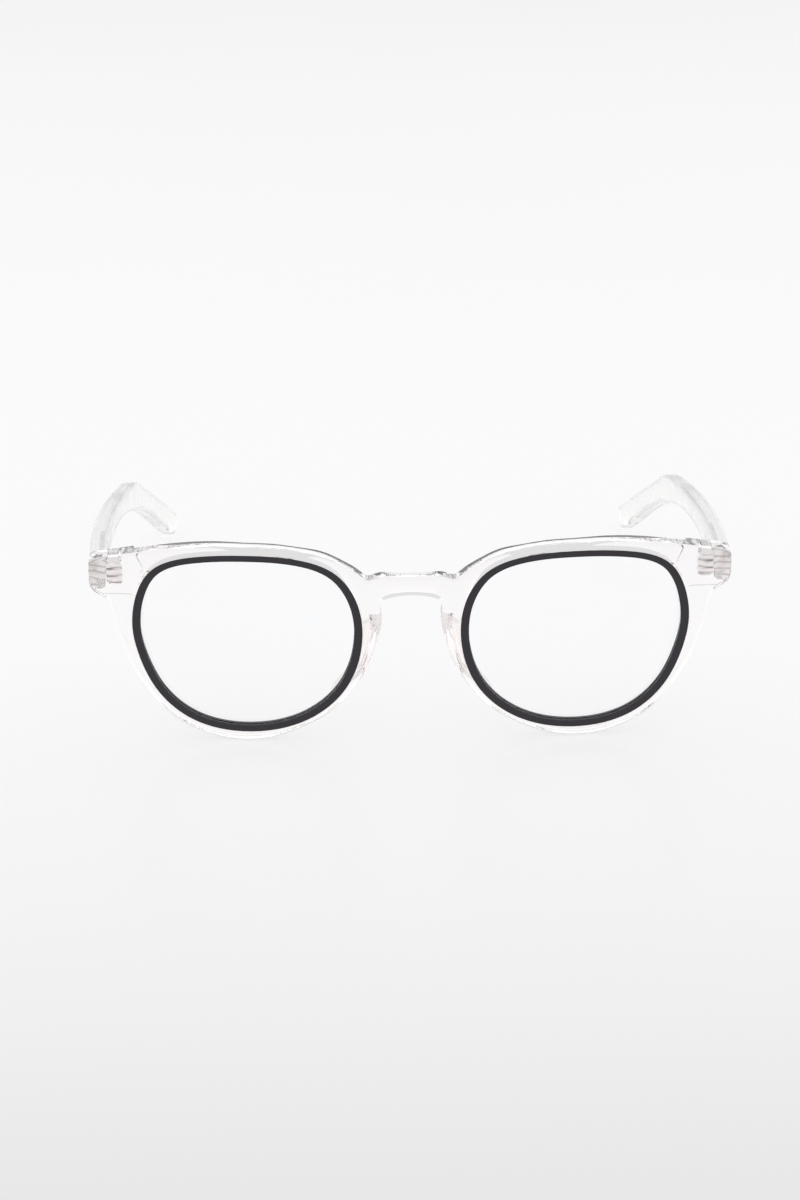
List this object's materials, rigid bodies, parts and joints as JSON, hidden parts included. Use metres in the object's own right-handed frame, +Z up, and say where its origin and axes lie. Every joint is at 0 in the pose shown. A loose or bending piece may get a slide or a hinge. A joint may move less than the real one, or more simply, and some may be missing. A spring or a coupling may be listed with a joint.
{
  "type": "eyeglasses",
  "caption": "Clear acetate full-rim spectacles with dark inner rims, keyhole bridge, glued nose pads, demo lenses and folding temples.",
  "frame": {"origin": "middle of the open glasses' footprint, on the surface that the rims and temple tips stand on", "axes": "+Z up, +Y from the front back to the temple tips, +X to the right seen from in front, so left and right in names are as seen from in front"},
  "size_m": [0.1426, 0.147, 0.0446],
  "materials": {
    "crystal_acetate": "polished crystal-clear cellulose acetate",
    "dark_rim": "satin charcoal acetate",
    "lens_clear": "clear uncoated demo lens",
    "hinge_metal": "nickel silver, satin",
    "screw_metal": "polished screw"
  },
  "bodies": {
    "front": {"front_frame": "crystal_acetate", "rim_ring_left": "dark_rim", "rim_ring_right": "dark_rim", "lens_left": "lens_clear", "lens_right": "lens_clear", "nose_pad_left": "crystal_acetate", "nose_pad_right": "crystal_acetate", "hinge_front_leaf_left": "hinge_metal", "hinge_front_leaf_right": "hinge_metal", "hinge_screw_left": "screw_metal", "hinge_screw_right": "screw_metal"},
    "temple_left": {"temple_left": "crystal_acetate", "hinge_temple_leaf_left": "hinge_metal"},
    "temple_right": {"temple_right": "crystal_acetate", "hinge_temple_leaf_right": "hinge_metal"}
  },
  "joints": [
    {"name": "temple_left_fold", "type": "hinge", "parent": "front", "child": "temple_left", "pos_m": [-0.0637, -0.06141, 0.0373], "axis": [0, 0, -1], "range_deg": [0, 88]},
    {"name": "temple_right_fold", "type": "hinge", "parent": "front", "child": "temple_right", "pos_m": [0.0637, -0.06141, 0.0373], "axis": [0, 0, 1], "range_deg": [0, 83]}
  ]
}
